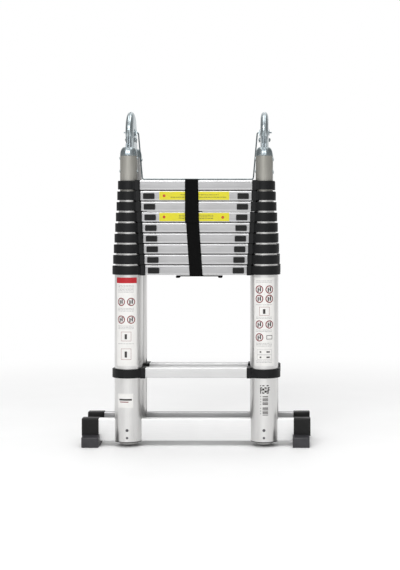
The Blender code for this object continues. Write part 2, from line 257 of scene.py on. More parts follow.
def webbing(name):
    """Black woven webbing: two sets of ribs across each other, and a little lint."""
    made = Finish(name)
    waves = []
    for direction, scale in (("X", 420.0), ("Z", 260.0)):
        wave = made.add("ShaderNodeTexWave", bands_direction=direction)
        settle(wave, Scale=scale, Distortion=1.2, Detail=1.0)
        made.link(made.places["Object"], wave.inputs["Vector"])
        waves.append(wave.outputs["Fac"])
    weave = made.math("MULTIPLY", waves[0], waves[1])
    lint = made.noise(700.0, 4.0, 0.7)
    height = made.math("ADD", weave, made.math("MULTIPLY", lint, 0.8))
    made.colour(made.ramp(height, [(0.2, 0.001), (1.2, 0.010)]))
    made.fixed(Roughness=0.95, Specular_IOR_Level=0.05)
    made.bump(height, 0.6, 0.0005)
    return made.material


def printed(name, colour, worn):
    """A printed film label, slightly glossy, with rubbed patches."""
    made = Finish(name)
    rub = made.noise(60.0, 5.0, 0.7)
    made.colour(made.ramp(rub, [(0.45, colour), (0.9, worn)]))
    made.roughness(made.ramp(rub, [(0.3, 0.30), (0.8, 0.5)]))
    made.bump(rub, 0.05, 0.0001)
    return made.material


def floor_paint(name, inner, outer):
    """Pale studio floor that fades to the same white as the surroundings away from the object."""
    made = Finish(name)
    grain = made.noise(3.0, 3.0)
    made.colour(made.ramp(grain, [(0.3, 0.93), (0.7, 0.96)]))
    made.fixed(Roughness=0.6, Specular_IOR_Level=0.25)
    distance = made.add("ShaderNodeVectorMath", operation="LENGTH")
    made.link(made.places["Object"], distance.inputs[0])
    fade = made.smooth_step(distance.outputs["Value"], From_Min=inner, From_Max=outer)
    glow = made.add("ShaderNodeEmission")
    settle(glow, Color=WHITE)
    mixed = made.mixed_shader(fade, made.shader.outputs["BSDF"], glow.outputs["Emission"])
    made.link(mixed, made.tree.nodes["Material Output"].inputs["Surface"])
    return made.material


TUBE_METAL = anodised("tube_aluminium", (0.68, 0.675, 0.665), (0.78, 0.775, 0.765), 0.30, "Z")
# A darker, warmer aluminium with less shine, for the front section's top tubes.
TOP_METAL = anodised("darker_aluminium", (0.30, 0.295, 0.265), (0.40, 0.39, 0.36), 0.50, "Z", 0.6)
# The stacked rungs' brightest colour is a painted highlight along their upper and lower edges.
RUNG_METAL = anodised("rung_aluminium", (0.41, 0.41, 0.415), (0.49, 0.49, 0.495), 0.36, "X",
                      edge_highlight=(0.56, 0.56, 0.565))
# Painted shade: a darker copy of the bar aluminium, for the rear bar, which stands in shade.
SHADED_BAR_METAL = anodised("shaded_bar_aluminium", (0.36, 0.36, 0.365), (0.50, 0.50, 0.505), 0.36, "X")
PALE_METAL = anodised("pale_aluminium", 0.80, 0.87, 0.44, "X")
LOWER_RUNG_METAL = anodised("lower_rung_aluminium", 0.64, 0.72, 0.42, "X")
STEEL = zinc("zinc_steel", (0.34, 0.40, 0.42), (0.60, 0.66, 0.68))
# Painted shade: a darker copy of the zinc steel, for the front arms' plates and the ribs down the necks.
SHADED_NECK_STEEL = zinc("shaded_neck_steel", (0.22, 0.26, 0.28), (0.40, 0.45, 0.48))
ROD_STEEL = zinc("rod_steel", (0.10, 0.13, 0.14), (0.26, 0.30, 0.31))
SCREW_STEEL = zinc("screw_steel", (0.06, 0.06, 0.065), (0.16, 0.16, 0.17))
COLLAR_PLASTIC = moulded("collar_plastic", (0.003, 0.0035, 0.004), (0.008, 0.0085, 0.009), 0.46, 0.22)
BUTTON_PLASTIC = moulded("button_plastic", 0.003, 0.007, 0.42, 0.30)
SLEEVE_RUBBER = moulded("sleeve_rubber", 0.004, 0.012, 0.50, 0.25, 500.0)
FOOT_RUBBER = moulded("foot_rubber", (0.022, 0.022, 0.025), (0.042, 0.042, 0.047), 0.46, 0.45, 500.0)
PLUG_PLASTIC = moulded("plug_plastic", (0.42, 0.42, 0.41), (0.50, 0.50, 0.49), 0.55, 0.4)
WEBBING = webbing("black_webbing")
WHITE_FILM = printed("white_label", (0.82, 0.81, 0.79), (0.74, 0.73, 0.71))
RED_FILM = printed("red_label", (0.47, 0.004, 0.012), (0.40, 0.015, 0.025))
YELLOW_FILM = printed("yellow_label", (0.66, 0.60, 0.008), (0.60, 0.54, 0.03))
DARK_INK = printed("dark_ink", (0.03, 0.025, 0.025), (0.07, 0.06, 0.06))
RED_INK = printed("red_ink", (0.20, 0.015, 0.02), (0.28, 0.05, 0.05))
GREY_INK = printed("grey_ink", 0.32, 0.45)


# Shapes

ALONG_X = Matrix(((0, 0, 1, 0), (1, 0, 0, 0), (0, 1, 0, 0), (0, 0, 0, 1)))
ALONG_Z = Matrix.Identity(4)
FACING = Matrix(((1, 0, 0, 0), (0, 0, -1, 0), (0, 1, 0, 0), (0, 0, 0, 1)))  # pulled towards -Y


def arc(centre, radius, start, end, steps):
    """Points on an arc, angles in degrees."""
    turns = [radians(start + (end - start) * i / steps) for i in range(steps + 1)]
    return [(centre[0] + radius * cos(t), centre[1] + radius * sin(t)) for t in turns]


def circle(radius, sides, centre=(0.0, 0.0)):
    return arc(centre, radius, 0.0, 360.0, sides)[:-1]


def rounded(u_low, u_high, v_low, v_high, corner, steps=5):
    """An anticlockwise rectangle with round corners."""
    return (arc((u_high - corner, v_high - corner), corner, 0, 90, steps)
            + arc((u_low + corner, v_high - corner), corner, 90, 180, steps)
            + arc((u_low + corner, v_low + corner), corner, 180, 270, steps)
            + arc((u_high - corner, v_low + corner), corner, 270, 360, steps))


def linked(name, data):
    """A new object in the scene."""
    made = bpy.data.objects.new(name, data)
    bpy.context.collection.objects.link(made)
    return made


def mesh_object(name, mesh, finish, smooth_angle=35.0):
    made = linked(name, mesh)
    mesh.materials.clear()
    mesh.materials.append(finish)
    mesh.shade_smooth()
    mesh.set_sharp_from_angle(angle=radians(smooth_angle))
    return made


def mesh_of(name, shape):
    """The mesh of a finished shape, which is used up."""
    mesh = bpy.data.meshes.new(name)
    shape.to_mesh(mesh)
    shape.free()
    return mesh


def skin(shape, rings):
    """Faces between each ring of points and the next."""
    for first, second in zip(rings, rings[1:]):
        for i in range(len(first)):
            j = (i + 1) % len(first)
            shape.faces.new((first[i], first[j], second[j], second[i]))


def soften(piece, width, segments=2, angle=30.0):
    """The piece with its sharp edges rounded."""
    bevel = piece.modifiers.new("soften", "BEVEL")
    bevel.width = width
    bevel.segments = segments
    bevel.limit_method = "ANGLE"
    bevel.angle_limit = radians(angle)
    return applied(piece)


def curve_mesh(name, routes, closed, **settings):
    """The mesh of a curve along one or more routes, with these settings of the curve."""
    curve = bpy.data.curves.new(name, "CURVE")
    for key, value in settings.items():
        setattr(curve, key, value)
    for route in routes:
        spline = curve.splines.new("POLY")
        spline.points.add(len(route) - 1)
        for point, place in zip(spline.points, route):
            point.co = (*place, 1.0)
        spline.use_cyclic_u = closed
    guide = bpy.data.objects.new(name, curve)
    mesh = bpy.data.meshes.new_from_object(guide)
    mesh.name = name
    bpy.data.objects.remove(guide)
    bpy.data.curves.remove(curve)
    return mesh


def prism(name, outlines, low, high, finish, direction=ALONG_Z):
    """A solid pulled from filled outlines, of which the inner ones are holes."""
    routes = [[(u, v, 0.0) for u, v in outline] for outline in outlines]
    mesh = curve_mesh(name, routes, True, dimensions="2D", fill_mode="BOTH", extrude=(high - low) / 2)
    shape = bmesh.new()
    shape.from_mesh(mesh)
    bmesh.ops.remove_doubles(shape, verts=shape.verts, dist=1e-6)
    bmesh.ops.dissolve_limit(shape, angle_limit=0.001, verts=shape.verts, edges=shape.edges)
    bmesh.ops.translate(shape, verts=shape.verts, vec=(0.0, 0.0, (low + high) / 2))
    bmesh.ops.transform(shape, verts=shape.verts, matrix=direction)
    bmesh.ops.recalc_face_normals(shape, faces=shape.faces)
    shape.to_mesh(mesh)
    shape.free()
    return mesh_object(name, mesh, finish)


def lathe(name, profile, finish, sides, direction=ALONG_Z):
    """A turned solid from a closed profile of (radius, height) points. A radius of 0 is on the axis."""
    shape = bmesh.new()
    rings = []
    for radius, height in profile:
        if radius == 0:
            rings.append([shape.verts.new((0.0, 0.0, height))] * sides)
        else:
            rings.append([shape.verts.new((u, v, height)) for u, v in circle(radius, sides)])
    for upper, lower in zip(rings, rings[1:] + rings[:1]):
        for i in range(sides):
            j = (i + 1) % sides
            corners = list(dict.fromkeys((upper[i], upper[j], lower[j], lower[i])))
            if len(corners) > 2:
                shape.faces.new(corners)
    bmesh.ops.recalc_face_normals(shape, faces=shape.faces)
    bmesh.ops.transform(shape, verts=shape.verts, matrix=direction)
    return mesh_object(name, mesh_of(name, shape), finish)


def joined(name, pieces):
    """Several shapes made into one piece, each keeping its own material."""
    with bpy.context.temp_override(active_object=pieces[0], selected_editable_objects=pieces,
                                   object=pieces[0], selected_objects=pieces):
        bpy.ops.object.join()
    pieces[0].name = name
    return pieces[0]


def applied(piece):
    """The piece with its modifiers made part of its mesh."""
    graph = bpy.context.evaluated_depsgraph_get()
    mesh = bpy.data.meshes.new_from_object(piece.evaluated_get(graph))
    piece.modifiers.clear()
    piece.data = mesh
    return piece


def turned(piece, angle, axis):
    piece.data.transform(Matrix.Rotation(angle, 4, axis))
    return piece


def moved(piece, x, y=0.0, z=0.0):
    piece.data.transform(Matrix.Translation((x, y, z)))
    return piece


def at_stile(piece, side):
    """The piece, moved from the origin to a stile's axis."""
    return moved(piece, side * STILE_X, -SECTION_Y)


# Placing pieces on the frame

def attach(piece, body, slot, *nodes):
    """Lets a piece ride on a body and hides the CAD nodes that it stands for, if any. The slot is not used.
    """
    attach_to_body(piece, body)
    if nodes:
        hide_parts(*nodes)


def where(side):
    """The name of a side, for a piece that belongs to neither section."""
    return "left" if side < 0 else "right"


def facing(way, side):
    """Whether a direction along X points out of the ladder or into it, at this side."""
    return "outer" if way == side else "inner"


class Section:
    """One of the two sections: it names the bodies and nodes that a piece rides on and stands for."""

    def __init__(self, name):
        self.name = name
        self.rear = name == "rear"

    def side(self, side):
        """left is at -X as seen from the front, for both sections."""
        return "left" if (side < 0) != self.rear else "right"

    def piece_name(self, what, side):
        return f"{self.name}_{what}_{self.side(side)}"

    def body(self, stage):
        return f"{self.name}_base" if stage == 1 else f"{self.name}_stage_{stage}"

    def put(self, piece, body, slot, *nodes):
        """Attaches a piece that was made in the front section's place."""
        if self.rear:
            turned(piece, pi, "Z")
        attach(piece, body, slot, *nodes)

    def tube_node(self, stage, side):
        if stage == 1:
            return self.piece_name("base_tube", side)
        if self.rear:
            return f"rear_stage_{stage}"
        return self.piece_name(f"tube_{stage}", side)

    def rung_node(self, stage):
        return f"rear_stage_{stage}" if self.rear and stage > 1 else f"{self.name}_rung_{stage}"


# Stiles and rungs

def stile(section, stage, side):
    """A drawn tube with broken edges. The front section's innermost tubes are darker than the others."""
    low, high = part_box(section.tube_node(stage, side))
    radius, chamfer = tube_radius(stage), 0.0004
    inner = radius - TUBE_WALL
    profile = [
        (inner, high.z - chamfer), (inner + chamfer, high.z),
        (radius - chamfer, high.z), (radius, high.z - chamfer),
        (radius, low.z + chamfer), (radius - chamfer, low.z),
        (inner + chamfer, low.z), (inner, low.z + chamfer),
    ]
    name = section.piece_name(f"stile_{stage}", side)
    darker_tube = stage == STAGES and not section.rear
    made = lathe(name, profile, TOP_METAL if darker_tube else TUBE_METAL, 72)
    at_stile(made, side)
    if stage == 1:
        cut_bar_slot(made, side)
    section.put(made, section.body(stage), "aluminium", section.tube_node(stage, side))


def cut_bar_slot(tube, side):
    """Cuts the slot that the stabiliser bar passes through at the foot of a base tube."""
    low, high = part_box("front_stabiliser_bar")
    reach = BASE_RADIUS + 0.01
    outline = rounded(low.y - GAP, high.y + GAP, low.z - 0.05, high.z + GAP, 0.002, 3)
    middle_x = side * STILE_X
    cutter = prism("slot_cutter", [outline], middle_x - reach, middle_x + reach, TUBE_METAL, ALONG_X)
    cut = tube.modifiers.new("slot", "BOOLEAN")
    cut.operation = "DIFFERENCE"
    cut.object = cutter
    applied(tube)
    bpy.data.objects.remove(cutter)


COLLAR_INNER_HALF = 0.027  # half the depth of the flat towards the rung
COLLAR_CORNER = 0.003


def collar_outline(radius):
    """A ring's outside, squared off on the side towards the rung, which is at +u."""
    outer, reach = radius + COLLAR_MARGIN, radius + COLLAR_INNER_MARGIN
    start = degrees(asin(COLLAR_INNER_HALF / outer))
    u, v = reach - COLLAR_CORNER, COLLAR_INNER_HALF - COLLAR_CORNER
    return (arc((0.0, 0.0), outer, start, 360 - start, 40)
            + arc((u, -v), COLLAR_CORNER, 270, 360, 3) + arc((u, v), COLLAR_CORNER, 0, 90, 3))


def collar(stage, side, height, name):
    """The moulded ring round a tube's end, with softened edges, and the block that holds the rung."""
    radius = tube_radius(stage)
    low, high = height - COLLAR_HEIGHT / 2, height + COLLAR_HEIGHT / 2
    ring = prism(name, [collar_outline(radius), circle(radius + GAP, 72)], low, high, COLLAR_PLASTIC)
    made = joined(name, [soften(ring, 0.0012, 3, 40.0), rung_holder(radius, height)])
    if side > 0:
        made.data.transform(Matrix.Scale(-1, 4, (1, 0, 0)))
        made.data.flip_normals()
    return at_stile(made, side)


HOLDER_LENGTH = 0.014
HOLDER_HEIGHT = 0.0302


def rung_holder(radius, height):
    """The block between the ring and the rung. It is taller than the ring and almost meets the next one."""
    bore, half, corner = radius + GAP, COLLAR_INNER_HALF + 0.0005, COLLAR_CORNER
    reach = radius + COLLAR_INNER_MARGIN + 0.0006
    back = reach - HOLDER_LENGTH
    turn = degrees(acos(back / bore))
    outline = arc((0.0, 0.0), bore, turn, -turn, 12) + [(back, -half)]
    outline += arc((reach - corner, corner - half), corner, -90, 0, 3)
    outline += arc((reach - corner, half - corner), corner, 0, 90, 3) + [(back, half)]
    low, high = height - HOLDER_HEIGHT / 2, height + HOLDER_HEIGHT / 2
    return soften(prism("holder", [outline], low, high, COLLAR_PLASTIC), 0.0008, 2, 40.0)


TREAD_FLUTES = 10
TREAD_CORNER = 0.0016
TREAD_GROOVE = 0.0006
TREAD_CROWN = 0.0016  # how much higher a stacked rung's tread is in its middle
FACE_GROOVE_Z = 0.0080  # the groove along each face, above the rung's middle


def tread_outline(height, crown):
    """The rung's section: a box with a fluted tread on top and a shallow groove along its front and back."""
    half, top, bottom = RUNG_DEPTH / 2, RUNG_HEIGHT / 2, -RUNG_HEIGHT / 2
    edge = half - TREAD_CORNER - 0.001
    step = 2 * edge / TREAD_FLUTES
    tread = []
    for i in range(TREAD_FLUTES):
        u = edge - step * (i + 0.5)
        v = top + crown * cos(pi / 2 * u / half)
        tread += [(u + step * 0.30, v), (u + step * 0.12, v - TREAD_GROOVE),
                  (u - step * 0.12, v - TREAD_GROOVE), (u - step * 0.30, v)]
    right = arc((half - TREAD_CORNER, top - TREAD_CORNER), TREAD_CORNER, 90, 0, 4)
    right += [(half, FACE_GROOVE_Z + 0.0010), (half - TREAD_GROOVE, FACE_GROOVE_Z + 0.0004),
              (half - TREAD_GROOVE, FACE_GROOVE_Z - 0.0004), (half, FACE_GROOVE_Z - 0.0010)]
    right += arc((half - TREAD_CORNER, bottom + TREAD_CORNER), TREAD_CORNER, 0, -90, 4)
    left = [(-u, v) for u, v in reversed(right)]
    return [(u - SECTION_Y, v + height) for u, v in tread[::-1] + right + left]


def rung(stage, height, name, finish, crown=0.0):
    """The extruded rung, which ends inside its collars."""
    half_length = STILE_X - tube_radius(stage) - COLLAR_INNER_MARGIN + 0.002
    return prism(name, [tread_outline(height, crown)], -half_length, half_length, finish, ALONG_X)


BUTTON_LENGTH = 0.033
BUTTON_HEIGHT = 0.017
BUTTON_FROM_COLLAR = 0.0085
BUTTON_DROP = 0.0012  # the buttons sit this much below the middle of the rung
BUTTON_RIBS = 5
BUTTON_RIB_PITCH = 0.0042


def button(section, stage, side):
    """A thumb button with a sunk, ribbed middle."""
    face = SECTION_Y + RUNG_DEPTH / 2
    half_u, half_v = BUTTON_LENGTH / 2, BUTTON_HEIGHT / 2
    middle_x = side * (STILE_X - tube_radius(stage) - COLLAR_INNER_MARGIN - BUTTON_FROM_COLLAR - half_u)
    name = section.piece_name(f"button_{stage}", side)
    outer = rounded(-half_u, half_u, -half_v, half_v, 0.0025)
    sunk = rounded(-half_u + 0.004, half_u - 0.004, -half_v + 0.0035, half_v - 0.0035, 0.0012, 3)
    rim = soften(prism(name, [outer, sunk], 0.0, 0.0048, BUTTON_PLASTIC, FACING), 0.0006)
    floor = prism("floor", [sunk], 0.0, 0.0030, BUTTON_PLASTIC, FACING)
    parts = [rim, floor]
    for i in range(BUTTON_RIBS):
        u = (i - (BUTTON_RIBS - 1) / 2) * BUTTON_RIB_PITCH
        outline = rounded(u - 0.0006, u + 0.0006, -half_v + 0.0042, half_v - 0.0042, 0.0004, 2)
        parts.append(prism("rib", [outline], 0.0028, 0.0042, BUTTON_PLASTIC, FACING))
    made = moved(joined(name, parts), middle_x, -face - GAP, RUNG_Z[stage] - BUTTON_DROP)
    if stage == 1:
        node = section.piece_name("release_button", side)
        section.put(made, section.piece_name("button", side), "plastic", node)
    else:
        section.put(made, section.body(stage), "plastic")


def build_stage(section, stage):
    """A stage's tubes, its rung with two collars, and its release buttons."""
    node = section.rung_node(stage)
    name = f"{section.name}_tread_{stage}"
    crown = TREAD_CROWN if stage < STAGES else 0.0
    section.put(rung(stage, RUNG_Z[stage], name, RUNG_METAL, crown), section.body(stage), "rung", node)
    for side in (-1, 1):
        stile(section, stage, side)
        name = section.piece_name(f"collar_{stage}", side)
        section.put(collar(stage, side, RUNG_Z[stage], name), section.body(stage), "plastic", node)
        if stage < STAGES:
            button(section, stage, side)


def build_lower_rung(section):
    node = f"{section.name}_lower_rung"
    tread = rung(1, LOWER_RUNG_Z, f"{section.name}_lower_tread", LOWER_RUNG_METAL)
    section.put(tread, section.body(1), "rung", node)
    for side in (-1, 1):
        name = section.piece_name("lower_collar", side)
        section.put(collar(1, side, LOWER_RUNG_Z, name), section.body(1), "plastic", node)


# Feet

BAR_WALL = 0.002
SLEEVE_HALF = 0.017  # half the depth of the sleeve over the bar's end
FOOT_LEDGE = 0.0335  # height of the base where it meets the sleeve
FOOT_STEP = 0.0295  # and at its edge
FOOT_SHIFT = 0.003  # the base is set this much further in than the sleeve


def build_feet(section):
    """The stabiliser bar, and what is at its two ends."""
    bar_low, bar_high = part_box(f"{section.name}_stabiliser_bar")
    half = (bar_high.y - bar_low.y) / 2
    bore, wall = half - BAR_WALL, BAR_WALL
    outer = rounded(-SECTION_Y - half, -SECTION_Y + half, bar_low.z, bar_high.z, 0.0025, 4)
    inner = rounded(-SECTION_Y - bore, -SECTION_Y + bore, bar_low.z + wall, bar_high.z - wall, 0.001, 2)
    # The rear bar's darker colour is painted shade; both bars are the same metal.
    finish = SHADED_BAR_METAL if section.rear else PALE_METAL
    bar = prism(f"{section.name}_bar", [outer, inner], bar_low.x, bar_high.x, finish, ALONG_X)
    section.put(bar, section.body(1), "pale_aluminium", f"{section.name}_stabiliser_bar")
    for side in (-1, 1):
        foot(section, side)
        end_plug(section, side)
        bolts(section, side)


def foot(section, side):
    """A rubber foot: a sleeve over the bar's end, on a wide base with an almost flat ledge."""
    low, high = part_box("front_foot_left")
    inner, outer = -high.x, -low.x
    base = (high.y - low.y) / 2
    column = [(SLEEVE_HALF, FOOT_LEDGE - 0.004), (SLEEVE_HALF, high.z - 0.003), (SLEEVE_HALF - 0.003, high.z)]
    tread = [(base - 0.002, 0.0), (base, 0.0025), (base, FOOT_STEP - 0.002), (base - 0.002, FOOT_STEP),
             (SLEEVE_HALF, FOOT_LEDGE), (SLEEVE_HALF - 0.004, FOOT_LEDGE + 0.001)]
    parts = []
    for half, start, end, finish in ((column, inner, outer, SLEEVE_RUBBER),
                                     (tread, inner - FOOT_SHIFT, outer - FOOT_SHIFT, FOOT_RUBBER)):
        outline = [(y - SECTION_Y, z) for y, z in half + [(-y, z) for y, z in reversed(half)]]
        span = sorted((side * start, side * end))
        parts.append(soften(prism("part", [outline], *span, finish, ALONG_X), 0.0018, 3, 40.0))
    made = joined(section.piece_name("shoe", side), parts)
    section.put(made, section.body(1), "rubber", section.piece_name("foot", side))


def end_plug(section, side):
    """The plug in the foot of a base tube: a flange, whose dark plastic paints the shadow line under the
    tube, and a smaller, pale dome down to the floor.
    """
    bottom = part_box("front_base_tube_left")[0].z
    shadow_flange, flange_top, flange_low = BASE_RADIUS - 0.0004, bottom - GAP, bottom - 0.0018
    # The flange is dark to paint the shadow line where the tube meets the plug.
    ring = lathe("shadow_flange", [(0.0, flange_top), (shadow_flange, flange_top), (shadow_flange, flange_low), (0.0, flange_low)],
                 COLLAR_PLASTIC, 56)
    radius, dome_low, steps = 0.030, 0.0015, 8
    turns = [i * pi / 2 / steps for i in range(steps)]
    dome = [(radius * cos(t), flange_low - (flange_low - dome_low) * sin(t)) for t in turns]
    plug = lathe("plug", [(0.0, flange_low)] + dome + [(0.0, dome_low)], PLUG_PLASTIC, 56)
    made = joined(section.piece_name("plug", side), [ring, plug])
    at_stile(made, side)
    section.put(made, section.body(1), "plastic")


def button_head(name, radius, height, finish):
    """A low domed rivet or bolt head standing on Z = 0."""
    steps = 6
    turns = [i * pi / 2 / steps for i in range(steps)]
    dome = [(radius * cos(t), height * (0.3 + 0.7 * sin(t))) for t in turns]
    return lathe(name, [(0.0, 0.0), (radius, 0.0)] + dome + [(0.0, height)], finish, 24)


SCREWS = ((0.050, 0.0044), (0.028, 0.0036))  # height and head radius of each


def bolts(section, side):
    """The two screws in the front of a base tube that hold the plug and the bar."""
    for number, (height, radius) in enumerate(SCREWS, 1):
        name = f"{section.piece_name('screw', side)}_{number}"
        head = button_head(name, radius, 0.0012, SCREW_STEEL)
        moved(turned(head, pi / 2, "X"), side * STILE_X, -SECTION_Y - BASE_RADIUS + 0.0003, height)
        section.put(head, section.body(1), "steel")


# Hinges

DISC_RADIUS = 0.061  # of the rear arm's plates, which close over the front arm's
INNER_DISC_RADIUS = 0.047
NECK_RADIUS = 0.015
NECK_Z = 0.870
SHOULDER_TOP = NECK_Z + 0.004
SHOULDER_TOP_RADIUS = 0.0125
SEAT_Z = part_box("front_tube_9_left")[1].z + GAP  # where the arm's foot stands on the top tube
SPIGOT_BOTTOM = 0.790  # and how far down it goes inside
PLATE_THICKNESS = 0.0018
INNER_HALF = 0.0070  # half the thickness of the front arm's pair of plates
SEAM_HALF = 0.0008  # half the seam between an arm's two halves
FORK_OUTER = 0.0126  # the rear arm's outside, from the stile's axis
PIVOT_HEAD = 0.010
PIVOT_SHANK = 0.006
PIVOT_BORE = 0.0024
BOLT_BELOW_PIVOT = 0.022
RIVET_HEIGHTS = (0.841, 0.803)


def plate_outline(radius, neck_radius):
    """The convex outline round the disc and the arm's neck, in Y and Z."""
    disc, neck = Vector((0.0, PIVOT_Z)), Vector((-SECTION_Y, NECK_Z))
    between = neck - disc
    lean = atan2(between.y, between.x)
    spread = acos((radius - neck_radius) / between.length)
    start, end = degrees(lean - spread), degrees(lean + spread)
    return arc(disc, radius, end, start + 360, 48) + arc(neck, neck_radius, start, end, 16)


def dished_plate(near, far, edge, dish, disc_radius, finish):
    """A pressed shell between two distances from the stile's axis. Its rim curls in to edge over the dish."""
    steps = 8
    way = 1 if far > near else -1
    shape = bmesh.new()
    outside, inside = [], []
    for i in range(steps + 1):
        inset = dish * (i / steps) ** 1.6
        x = edge + (far - edge) * sqrt(1 - (1 - inset / dish) ** 2)
        outline = plate_outline(disc_radius - inset, NECK_RADIUS - 0.7 * inset)
        outside.append([shape.verts.new((x, y, z)) for y, z in outline])
        back = max(way * near, way * x - PLATE_THICKNESS) * way
        inside.append([shape.verts.new((back, y, z)) for y, z in outline])
    skin(shape, outside[::-1] + inside)
    shape.faces.new(outside[-1])
    shape.faces.new(inside[-1])
    bmesh.ops.recalc_face_normals(shape, faces=shape.faces)
    return mesh_object("plate", mesh_of("plate", shape), finish, 50.0)


def arm_foot(name):
    """The shoulder on the top tube, with the spigot inside the tube."""
    spigot = TOP_RADIUS - TUBE_WALL - GAP
    rim, steps = SEAT_Z + 0.002, 8
    shoulder = []
    for i in range(steps + 1):
        turn = i / steps * pi / 2
        radius = SHOULDER_TOP_RADIUS + (TOP_RADIUS - SHOULDER_TOP_RADIUS) * sin(turn)
        shoulder.append((radius, rim + (SHOULDER_TOP - rim) * cos(turn)))
    below = [(TOP_RADIUS, SEAT_Z), (spigot, SEAT_Z), (spigot, SPIGOT_BOTTOM), (0.0, SPIGOT_BOTTOM)]
    return lathe(name, [(0.0, SHOULDER_TOP)] + shoulder + below, STEEL, 56)


def neck_rib(way):
    """Half of the pressed rib that runs from the neck down the front of the shoulder to the tube."""
    front = TOP_RADIUS + 0.0008
    outline = [(0.0, SEAT_Z), (-front, SEAT_Z), (-front, SEAT_Z + 0.010), (0.003 - front, SEAT_Z + 0.018),
               (0.008 - front, SEAT_Z + 0.028), (-0.0148, NECK_Z + 0.014), (0.0, NECK_Z + 0.014)]
    ends = sorted((way * SEAM_HALF, way * INNER_HALF))
    # The rib's darker steel is painted shade.
    return soften(prism("rib", [outline], *ends, SHADED_NECK_STEEL, ALONG_X), 0.0010, 2, 50.0)


def hinge_arm(section, side):
    """One arm of a hinge: foot, plates and the rivets that hold it in the tube."""
    name = section.piece_name("arm", side)
    parts = [at_stile(arm_foot(name), side)]
    if section.rear:
        far, edge, dish, disc, finish = FORK_OUTER - 0.001, 0.0024, 0.0200, DISC_RADIUS, STEEL
    else:
        # The front arm's plates take the darker steel, which is painted shade.
        far, edge, dish, disc, finish = INNER_HALF, 0.0030, 0.0050, INNER_DISC_RADIUS, SHADED_NECK_STEEL
    for way in (-1, 1):
        plate = dished_plate(way * SEAM_HALF, way * far, way * edge, dish, disc, finish)
        parts.append(moved(plate, side * STILE_X))
        parts.append(at_stile(neck_rib(way), side))
    made = joined(name, parts)
    node = section.piece_name("hinge_arm", side)
    section.put(made, section.body(STAGES), "steel", node)
    rivets(section, side)


def rivets(section, side):
    """Two rivets through each side of the top tube."""
    for number, height in enumerate(RIVET_HEIGHTS, 1):
        for way in (-1, 1):
            name = f"{section.piece_name('rivet', side)}_{number}_{facing(way, side)}"
            head = button_head(name, 0.0045, 0.0026, STEEL)
            middle_x = side * STILE_X + way * (TOP_RADIUS - 0.0002)
            moved(turned(head, way * pi / 2, "Y"), middle_x, -SECTION_Y, height)
            section.put(head, section.body(STAGES), "steel")


HINGE_BODY = f"front_stage_{STAGES}"  # the pivots, lock bolts and levers ride on the front arms


def pivot(side):
    """The hollow pivot rivet, with rounded heads."""
    node = f"hinge_pivot_{where(side)}"
    low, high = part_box(node)
    end, grip = (high.x - low.x) / 2, FORK_OUTER + GAP
    half = [(PIVOT_BORE, end - 0.0004), (PIVOT_BORE + 0.0004, end), (PIVOT_HEAD - 0.0016, end),
            (PIVOT_HEAD - 0.0004, end - 0.0006), (PIVOT_HEAD, end - 0.0013), (PIVOT_HEAD, grip),
            (PIVOT_SHANK, grip)]
    profile = half + [(radius, -x) for radius, x in reversed(half)]
    made = lathe(f"pivot_{where(side)}", profile, STEEL, 40, ALONG_X)
    moved(made, side * STILE_X, 0.0, PIVOT_Z)
    attach(made, HINGE_BODY, "steel", node)


def lock_bolt(side):
    """The heads of the spring bolt that locks the hinge, below the pivot."""
    for way in (-1, 1):
        head = button_head(f"lock_bolt_{where(side)}_{facing(way, side)}", 0.0060, 0.0052, ROD_STEEL)
        middle_x = side * STILE_X + way * (FORK_OUTER + GAP)
        moved(turned(head, way * pi / 2, "Y"), middle_x, 0.0, PIVOT_Z - BOLT_BELOW_PIVOT)
        attach(head, HINGE_BODY, "steel")


LEVER_OUTER = 0.0153  # the lever's two faces, from the stile's axis
LEVER_INNER = 0.0168


def lever(side):
    """The small plate on the inner side of a hinge that ties its lock bolt to the bail."""
    outline = (arc((0.0, PIVOT_Z), 0.0065, 0, 180, 12)
               + arc((0.0, PIVOT_Z - BOLT_BELOW_PIVOT), 0.0085, 180, 360, 12))
    ends = sorted((side * (STILE_X - LEVER_OUTER), side * (STILE_X - LEVER_INNER)))
    attach(prism(f"lever_{where(side)}", [outline], *ends, STEEL, ALONG_X), HINGE_BODY, "steel")


def bent(corners, bend):
    """A route through the corners, each rounded from a bend's length before it to the same after it."""
    steps = 10
    route = [corners[0]]
    for before, corner, after in zip(corners, corners[1:], corners[2:]):
        start = corner + (before - corner).normalized() * bend
        end = corner + (after - corner).normalized() * bend
        for i in range(steps + 1):
            t = i / steps
            route.append(start * (1 - t) ** 2 + corner * 2 * t * (1 - t) + end * t ** 2)
    return route + [corners[-1]]


ROD_RADIUS = 0.002
BAIL_TOP_X = 0.177
BAIL_LOW_X = 0.165
BAIL_BEND = 0.006


def bail():
    """The bent rod that releases both hinges."""
    low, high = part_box("release_bail")
    run = low.z + ROD_RADIUS
    half = [(high.x, PIVOT_Z), (BAIL_TOP_X, PIVOT_Z), (BAIL_LOW_X, run)]
    corners = [Vector((-x, 0.0, z)) for x, z in half] + [Vector((x, 0.0, z)) for x, z in reversed(half)]
    mesh = curve_mesh("bail_rod", [bent(corners, BAIL_BEND)], False, dimensions="3D", bevel_depth=ROD_RADIUS,
                      bevel_resolution=6, use_fill_caps=True)
    attach(mesh_object("bail_rod", mesh, ROD_STEEL), "release_bail", "steel", "release_bail")


def build_hinges(front, rear):
    for side in (-1, 1):
        hinge_arm(front, side)
        hinge_arm(rear, side)
        pivot(side)
        lock_bolt(side)
        lever(side)
    bail()


# Strap and handle

STRAP_THICKNESS = 0.002
STRAP_JOIN_Z = 0.652  # where the overlapping end stops
STRAP_LOW_SHIFT = 0.0075  # how far the strap leans along the rungs at the bottom,
STRAP_JOIN_SHIFT = -0.0030  # at the join
FLAP_SHIFT = -0.006  # and at the top
FLAP_THICKNESS = 0.0016


